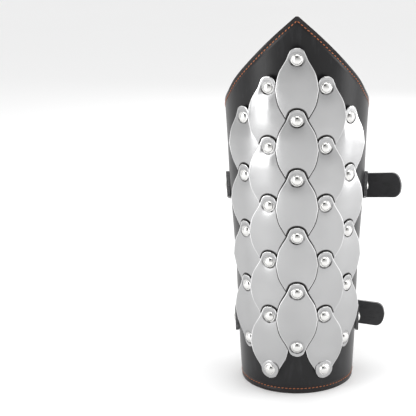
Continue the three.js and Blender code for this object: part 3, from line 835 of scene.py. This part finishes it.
# Domed head outside, eyelet ring and sunk shank end inside; the shank end wears the dark lining
# leather as painted shade in the eyelet's bore
def make_rivet(name, around, z, head_off, node, slot="polished_steel"):
    bm = bmesh.new()
    outside = on_leather(around, z, head_off)
    face_out = standing(outside, radial(outside))
    gather(bm, turned(DOME, 28), face_out, 0)
    inside = on_leather(around, z, -LEATHER_THICKNESS + 0.02)
    face_in = standing(inside, -radial(inside))
    gather(bm, turned(EYELET, 24, True), face_in, 1)
    gather(bm, turned(PEEN, 20), face_in, 2)
    piece(name, bm, [nickel, washer_nickel, painted_bore_shade], slot, node)


def make_end_scale(name, place, row):
    around = around_of(place)
    z = rivet_height(place, row)
    off = seat_of(place) + COLUMN_STEP + GAP - dish(0, place)
    seat = on_leather(around, z, off)
    top = SCALE_THICKNESS
    radius = END_SCALE_RADIUS
    disc = turned([
        (0, top), (3.4, top), (radius - 0.5, top - 0.02), (radius - 0.15, top - 0.12),
        (radius, top - 0.34), (radius, 0.2), (radius - 0.15, 0), (0, 0),
    ], 48)
    bm = bmesh.new()
    gather(bm, disc, standing(seat, radial(seat)))
    piece(name + "_plate", bm, [end_steel], "polished_steel", name)


for column, place, count in COLUMNS:
    around = around_of(place)
    for row in range(count):
        node = f"scale_{column}_{row + 1}"
        make_scale(node, place, row, count)
        head = seat_of(place) + COLUMN_STEP + SCALE_THICKNESS + 0.08 - dish(0, place)
        make_rivet(f"rivet_{column}_{row + 1}", around, rivet_height(place, row), head, node)
    z = rivet_height(place, count)
    if abs(place) == 1:
        node = f"end_scale_{column}"
        make_end_scale(node, place, count)
        head = seat_of(place) + COLUMN_STEP + GAP + SCALE_THICKNESS + 0.05 - dish(0, place)
        make_rivet(f"rivet_{column}_end", around, z, head, node)
    else:
        head = seat_of(place) + SCALE_THICKNESS + 0.12 - dish(0, place)
        node = f"end_rivet_{column}"
        make_rivet(f"rivet_{column}_end", around, z, head, node, "nickel_plate")


# Straps
STRAP_CENTRE = GAP + STRAP_THICKNESS / 2
LAYER_STEP = STRAP_THICKNESS + GAP
FOLD_RADIUS = WIRE_RADIUS + GAP + STRAP_THICKNESS / 2
BAR_DROP = LAYER_STEP / 2
ROLLER_LIFT = STRAP_THICKNESS / 2 + GAP + ROLLER_RADIUS
OVER_FOLD = FOLD_RADIUS - BAR_DROP + LAYER_STEP
OVERLAP_STEP = LAYER_STEP + FOLD_HEAD_THICKNESS + GAP


def strap_height(pair, degrees):
    return pair["middle"] + pair["rise"] * abs(degrees / STRAP_END_ANGLE) ** END_RISE_POWER


def strap_radius(pair):
    return radius_at(pair["middle"]) + STRAP_CENTRE


def flap_share(degrees):
    return smooth(abs(degrees), OPEN_BACK_TO, FLAP_FROM)


def lying_radius(pair, degrees):
    on_flap = radius_at(strap_height(pair, degrees)) + STRAP_CENTRE
    return blend(strap_radius(pair), on_flap, flap_share(degrees))


def lying_lean(pair, degrees):
    z = strap_height(pair, degrees)
    rise = radius_at(z + STRAP_WIDTH / 2) - radius_at(z - STRAP_WIDTH / 2)
    return flap_share(degrees) * rise / STRAP_WIDTH


def degrees_for(pair, length):
    return math.degrees(length / strap_radius(pair))


def roller_angle(pair):
    return pair["hinge"] - degrees_for(pair, FRAME_REACH)


# How far the long strap stands above the short strap's run, along the buckle
def long_lift(pair, degrees):
    from_hinge = (pair["hinge"] - degrees) * FRAME_REACH / (pair["hinge"] - roller_angle(pair))
    rise = 1 - smooth(from_hinge, 0, FRAME_REACH - WIRE_RADIUS)
    past = smooth(-from_hinge, 0, FRAME_REACH)
    return rise * blend(OVER_FOLD, OVERLAP_STEP, past)


def long_radius(pair, degrees):
    return lying_radius(pair, degrees) + long_lift(pair, degrees)


def tail_point(pair, length):
    leave = pair["leave"]
    angle = math.radians(leave)
    start = at_back(long_radius(pair, leave), leave, strap_height(pair, leave))
    share = length / pair["tail"]
    droop = -TAIL_DROOP * share * share
    return start + MM * Vector((
        length * math.cos(angle) - droop * math.sin(angle),
        -length * math.sin(angle) - droop * math.cos(angle),
        pair["tail_rise"] * share,
    ))


# A path for a flat strip: places, the lean across it, and the run along it
class Path:
    def __init__(self, stations):
        self.places = [place for place, lean in stations]
        self.leans = [lean for place, lean in stations]
        self.runs = [0.0]
        for a, b in zip(self.places, self.places[1:]):
            self.runs.append(self.runs[-1] + (b - a).length)
        self.length = self.runs[-1]

    def place(self, run):
        i = int(clamp(bisect_left(self.runs, run) - 1, 0, len(self.runs) - 2))
        share = (run - self.runs[i]) / (self.runs[i + 1] - self.runs[i])
        lean = blend(self.leans[i], self.leans[i + 1], share)
        return self.places[i].lerp(self.places[i + 1], share), lean

    def frame(self, run):
        place, lean = self.place(clamp(run, 0, self.length))
        step = 0.0012
        along = self.place(min(run + step, self.length))[0] - self.place(max(run - step, 0))[0]
        along.normalize()
        up = (Vector((0, 0, 1)) + radial(place) * lean).normalized()
        outward = up.cross(along).normalized()
        across = along.cross(outward).normalized()
        return place, across, outward


def blunt_half(from_tip):
    share = clamp(from_tip / TAIL_ROUND_LENGTH)
    curve = max(1 - (1 - share) ** TAIL_BLUNTNESS, 0)
    return STRAP_WIDTH / 2 * curve ** (1 / TAIL_BLUNTNESS)


# Cuts a round or long hole in a flat grid and brings its rim onto the hole's edge
def punch(bm, run, height, radius, half_length=0.0):
    def offset(point):
        core = clamp(point.x - run, -half_length, half_length)
        return Vector((point.x - run - core, point.y - height, 0)), core
    inner = [f for f in bm.faces if offset(f.calc_center_median())[0].length < radius]
    rim = {v for f in inner for v in f.verts}
    bmesh.ops.delete(bm, geom=inner, context="FACES")
    for vert in rim:
        if vert.is_valid and vert.link_faces:
            away, core = offset(vert.co)
            away = away.normalized() * radius
            vert.co = Vector((run + core + away.x, height + away.y, 0))


STRAP_CELL = 0.75 * MM


def make_strap(name, path, holes, tail, edge_wave):
    bm = bmesh.new()
    along = int(path.length / STRAP_CELL)
    across = int(STRAP_WIDTH * MM / STRAP_CELL)
    bmesh.ops.create_grid(bm, x_segments=along, y_segments=across, size=1)
    half = STRAP_WIDTH / 2 * MM
    for vert in bm.verts:
        vert.co = Vector(((vert.co.x + 1) / 2 * path.length, vert.co.y * half, 0))
    for hole in holes:
        punch(bm, *hole)
    for vert in bm.verts:
        run, height = vert.co.x, vert.co.y
        if tail:
            from_tip = (path.length - run) / MM
            if from_tip < TAIL_ROUND_LENGTH:
                # the last rows close up, so that the round end has even cells
                height *= max(blunt_half(from_tip), 0.9) / (STRAP_WIDTH / 2)
        edge = abs(height / half)
        wave = edge_wave * math.sin(run * 210 + 3 * height / half) * edge * edge
        place, side, outward = path.frame(run)
        vert.co = place + side * height + outward * wave * MM
    made = piece(name + "_leather", bm, [strap_face, strap_edge], "strap_leather", name)
    thicken(made, STRAP_THICKNESS, 0, 0, 1)
    round_edges(made, 0.42, 3)


def long_path(pair):
    stations = []
    degrees = -STRAP_END_ANGLE
    while degrees < pair["leave"] - 0.5:
        place = at_back(long_radius(pair, degrees), degrees, strap_height(pair, degrees))
        stations.append((degrees, place, lying_lean(pair, degrees)))
        degrees += 1
    angles = [row[0] for row in stations] + [pair["leave"]]
    path_rows = [(place, lean) for angle, place, lean in stations]
    for step in range(41):
        path_rows.append((tail_point(pair, pair["tail"] * step / 40), 0.0))
    path = Path(path_rows)

    def run_of(angle):
        i = int(clamp(bisect_left(angles, angle) - 1, 0, len(angles) - 2))
        share = (angle - angles[i]) / (angles[i + 1] - angles[i])
        return blend(path.runs[i], path.runs[i + 1], share)
    return path, run_of


def rivet_angle():
    return STRAP_END_ANGLE - math.degrees(STRAP_RIVET_INSET / UPPER_RADIUS)


def make_long_strap(pair):
    path, run_of = long_path(pair)
    prong_hole = pair["hinge"] - degrees_for(pair, FRAME_REACH * PRONG_HOLE_SHARE)
    slot_at = pair["hinge"] - degrees_for(pair, PRONG_EXIT)
    holes = [(run_of(slot_at), 0, PRONG_SLOT_RADIUS * MM, PRONG_SLOT_HALF * MM)]
    before = prong_hole - degrees_for(pair, pair["pitch"])
    holes.append((run_of(before), 0, STRAP_HOLE_RADIUS * MM))
    overlap = strap_radius(pair) + OVERLAP_STEP
    for n in range(1, pair["past"] + 1):
        angle = prong_hole + math.degrees(n * pair["pitch"] / overlap)
        if angle < pair["leave"]:
            run = run_of(angle)
        else:
            run = run_of(pair["leave"]) + MM * math.radians(angle - pair["leave"]) * overlap
        holes.append((run, 0, STRAP_HOLE_RADIUS * MM))
    name = f"long_strap_{pair['name']}"
    make_strap(name, path, holes, True, 0.10)


def make_short_strap(pair):
    stations = []
    hinge = pair["hinge"]
    bar = strap_radius(pair) - BAR_DROP
    taper = degrees_for(pair, 3 * FOLD_RADIUS)

    def put(radius, degrees):
        place = at_back(radius, degrees, strap_height(pair, degrees))
        stations.append((place, lying_lean(pair, degrees)))

    degrees = STRAP_END_ANGLE
    while degrees > hinge + taper:
        put(lying_radius(pair, degrees), degrees)
        degrees -= 1
    # between the run and the fold the strap rises a little to go over the bar
    rise = bar + FOLD_RADIUS - strap_radius(pair)
    for step in range(1, 8):
        share = step / 8
        put(strap_radius(pair) + rise * smooth(share, 0, 1), hinge + taper * (1 - share))
    fold_start = len(stations)
    for step in range(25):
        turn = math.pi * step / 24
        reach = degrees_for(pair, FOLD_RADIUS * math.sin(turn))
        put(bar + FOLD_RADIUS * math.cos(turn), hinge - reach)
    fold_end = len(stations) - 1
    drop = bar - FOLD_RADIUS - (strap_radius(pair) - LAYER_STEP)
    for step in range(1, 8):
        share = step / 8
        put(bar - FOLD_RADIUS - drop * smooth(share, 0, 1), hinge + taper * share)
    back = hinge + degrees_for(pair, FOLD_RETURN)
    degrees = hinge + taper
    while degrees < back:
        put(strap_radius(pair) - LAYER_STEP, degrees)
        degrees += 1
    path = Path(stations)
    fold_middle = (path.runs[fold_start] + path.runs[fold_end]) / 2
    fold_half = (path.runs[fold_end] - path.runs[fold_start]) / 2
    name = f"short_strap_{pair['name']}"
    holes = [(fold_middle, 0, BAR_SLOT_RADIUS * MM, fold_half + BAR_SLOT_PAST_FOLD * MM)]
    make_strap(name, path, holes, False, 0.08)


# Corner-rounded rectangle in a plane, as pairs from its middle
def rounded_loop(width, height, corner, steps):
    loop = []
    quarters = [(1, 1), (-1, 1), (-1, -1), (1, -1)]
    for quarter, (sx, sy) in enumerate(quarters):
        for i in range(steps + 1):
            angle = (quarter + i / steps) * math.pi / 2
            loop.append((
                sx * (width / 2 - corner) + corner * math.cos(angle),
                sy * (height / 2 - corner) + corner * math.sin(angle),
            ))
    return loop


# Closed loop of round wire through a row of places
def make_wire(name, places, radius):
    data = bpy.data.curves.new(name, "CURVE")
    data.dimensions = "3D"
    data.bevel_depth = radius * MM
    data.bevel_resolution = 6
    spline = data.splines.new("POLY")
    spline.points.add(len(places) - 1)
    for point, place in zip(spline.points, places):
        point.co = (*place, 1)
    spline.use_cyclic_u = True
    spline.use_smooth = True
    bent = bpy.data.objects.new(name + "_route", data)
    scene.collection.objects.link(bent)
    bpy.context.view_layer.update()
    depsgraph = bpy.context.evaluated_depsgraph_get()
    mesh = bpy.data.meshes.new_from_object(bent.evaluated_get(depsgraph))
    bpy.data.objects.remove(bent)
    mesh.materials.clear()
    for face in mesh.polygons:
        face.use_smooth = True
    put_piece(name + "_wire", mesh, [buckle_nickel], "nickel_plate", name)


def make_frame(pair):
    places = []
    for along, high in rounded_loop(FRAME_REACH, FRAME_WIDTH - 2 * WIRE_RADIUS, FRAME_CORNER, 12):
        reach = FRAME_REACH / 2 - along
        share = reach / FRAME_REACH
        radius = strap_radius(pair) + blend(-BAR_DROP, ROLLER_LIFT, share)
        # the arms bow outward a little between the bar and the roller
        radius += FRAME_BOW * math.sin(math.pi * share) * smooth(abs(high), 6, 11)
        degrees = pair["hinge"] - degrees_for(pair, reach)
        places.append(at_back(radius, degrees, strap_height(pair, pair["hinge"]) + high))
    make_wire(f"buckle_frame_{pair['name']}", places, WIRE_RADIUS)


def make_roller(pair):
    degrees = roller_angle(pair)
    centre = at_back(strap_radius(pair) + ROLLER_LIFT, degrees, strap_height(pair, pair["hinge"]))
    half = ROLLER_LENGTH / 2
    bore = WIRE_RADIUS + 0.12
    out = ROLLER_RADIUS
    profile = [
        (bore, -half), (out - 0.35, -half), (out - 0.08, -half + 0.12), (out, -half + 0.4),
        (out, half - 0.4), (out - 0.08, half - 0.12), (out - 0.35, half), (bore, half),
    ]
    bm = bmesh.new()
    gather(bm, turned(profile, 32, True), Matrix.Translation(centre))
    name = f"buckle_roller_{pair['name']}"
    piece(name + "_sleeve", bm, [buckle_nickel], "nickel_plate", name)


def make_prong(pair):
    bar = strap_radius(pair) - BAR_DROP
    ring = WIRE_RADIUS + 0.15 + PRONG_THICKNESS / 2
    height = strap_height(pair, pair["hinge"])
    stations = []

    def put(reach, lift):
        degrees = pair["hinge"] - degrees_for(pair, reach)
        stations.append((at_back(bar + lift, degrees, height), 0.0))

    steps = 28
    for i in range(steps + 1):
        turn = math.radians(blend(-20, -275, i / steps))
        put(ring * math.cos(turn), ring * math.sin(turn))
    rest = ROLLER_LIFT + BAR_DROP + ROLLER_RADIUS + PRONG_THICKNESS / 2 + 0.05
    under = BAR_DROP - (STRAP_THICKNESS + PRONG_THICKNESS) / 2
    end_reach = FRAME_REACH + 0.6
    for i in range(1, 33):
        reach = blend(0.8, end_reach, i / 32)
        lift = long_lift(pair, pair["hinge"] - degrees_for(pair, reach)) + under
        put(reach, blend(lift, rest, smooth(reach, PRONG_EXIT - 4.2, PRONG_EXIT + 2.6)))
    path = Path(stations)
    bm = bmesh.new()
    bmesh.ops.create_grid(bm, x_segments=90, y_segments=6, size=1)
    for vert in bm.verts:
        run = (vert.co.x + 1) / 2 * path.length
        half = PRONG_WIDTH / 2 * MM * blend(1.0, PRONG_TIP_SHARE, (vert.co.x + 1) / 2)
        from_tip = (path.length - run) / MM
        if from_tip < PRONG_TIP_LENGTH:
            half *= math.sqrt(max(1 - (1 - from_tip / PRONG_TIP_LENGTH) ** 2, 0.08))
        place, side, outward = path.frame(run)
        vert.co = place + side * vert.co.y * half
    name = f"buckle_prong_{pair['name']}"
    made = piece(name + "_bar", bm, [buckle_nickel], "nickel_plate", name)
    thicken(made, PRONG_THICKNESS, 0, 0, 0)
    round_edges(made, 0.5, 4)


def make_keeper(pair):
    inner = strap_radius(pair) - LAYER_STEP - STRAP_THICKNESS / 2 - GAP - KEEPER_WIRE_RADIUS
    outer = strap_radius(pair) + OVERLAP_STEP + STRAP_THICKNESS / 2 + GAP + KEEPER_WIRE_RADIUS
    depth = outer - inner
    places = []
    height = KEEPER_HEIGHT - 2 * KEEPER_WIRE_RADIUS
    for through, high in rounded_loop(depth, height, depth * KEEPER_CORNER_SHARE, 10):
        z = strap_height(pair, pair["keeper"]) + high
        places.append(at_back((inner + outer) / 2 + through, pair["keeper"], z))
    make_wire(f"keeper_{pair['name']}", places, KEEPER_WIRE_RADIUS)


def make_strap_rivet(pair, side, word):
    degrees = side * rivet_angle()
    z = strap_height(pair, degrees)
    around = side * radius_at(z) * (math.pi - math.radians(rivet_angle()))
    name = f"strap_rivet_{word}_{pair['name']}"
    head = STRAP_CENTRE + STRAP_THICKNESS / 2 + 0.05
    make_rivet(name + "_dome", around, z, head, name, "nickel_plate")


FLAT_HEAD = [
    (0, 0.72), (1.5, 0.70), (2.1, 0.60), (2.5, 0.36), (2.58, 0.12), (2.5, -0.05), (0, -0.05),
]


def make_fold_rivet(pair):
    degrees = pair["hinge"] + degrees_for(pair, FOLD_RETURN - STRAP_RIVET_INSET / 2)
    z = strap_height(pair, degrees)
    outside = at_back(strap_radius(pair) + STRAP_THICKNESS / 2, degrees, z)
    inside = at_back(strap_radius(pair) - LAYER_STEP - STRAP_THICKNESS / 2, degrees, z)
    bm = bmesh.new()
    gather(bm, turned(FLAT_HEAD, 26), standing(outside, radial(outside)), 0)
    gather(bm, turned(EYELET, 24, True), standing(inside, -radial(inside)), 1)
    # the sunk shank end inside wears the dark lining leather, painted shade in the eyelet's bore
    gather(bm, turned(PEEN, 20), standing(inside, -radial(inside)), 2)
    name = f"fold_rivet_{pair['name']}"
    piece(name + "_head", bm, [nickel, washer_nickel, painted_bore_shade], "nickel_plate", name)


for pair in STRAPS:
    make_long_strap(pair)
    make_short_strap(pair)
    make_frame(pair)
    make_roller(pair)
    make_prong(pair)
    make_keeper(pair)
    make_strap_rivet(pair, -1, "left")
    make_strap_rivet(pair, 1, "right")
    make_fold_rivet(pair)


# Floor and surroundings
def make_floor():
    made, tree, shader, place = start_material("floor_paper", specular=0.2)
    clouds = grain(tree, place, 0.7, 2)
    shade = mixed(tree, clouds, (0.925, 0.925, 0.925), (0.945, 0.945, 0.945))
    rough = maths(tree, "ADD", maths(tree, "MULTIPLY", clouds, 0.1), 0.75)
    finish_material(tree, shader, shade, rough, None)
    bm = bmesh.new()
    bmesh.ops.create_grid(bm, x_segments=4, y_segments=4, size=20)
    mesh = bpy.data.meshes.new("floor")
    bm.to_mesh(mesh)
    bm.free()
    mesh.materials.append(made)
    floor = bpy.data.objects.new("floor", mesh)
    floor.location.z = -0.0002
    scene.collection.objects.link(floor)


make_floor()

world = bpy.data.worlds.new("studio")
scene.world = world
world.use_nodes = True
sky_tree = world.node_tree
sky = sky_tree.nodes["Background"]
direction = add_node(sky_tree, "ShaderNodeTexCoord").outputs["Generated"]
parts = add_node(sky_tree, "ShaderNodeSeparateXYZ", {0: direction})
forward = maths(sky_tree, "MULTIPLY", parts.outputs[1], -1.0)
band = ramp(sky_tree, forward, [(0.0, 1.0), (0.55, 0.95), (0.80, 0.62), (1.0, 0.58)])
dark_way = add_node(
    sky_tree, "ShaderNodeVectorMath", {0: direction, 1: (0.0, -0.72, 0.69)}, operation="DISTANCE",
).outputs["Value"]
hood = ramp(sky_tree, dark_way, [(0.0, 0.05), (0.30, 0.07), (0.52, 1.0)])
shade = mixed(sky_tree, 1.0, band, hood)
shade.node.blend_type = "MULTIPLY"
sky_tree.links.new(shade, sky.inputs["Color"])
sky.inputs["Strength"].default_value = 1.05
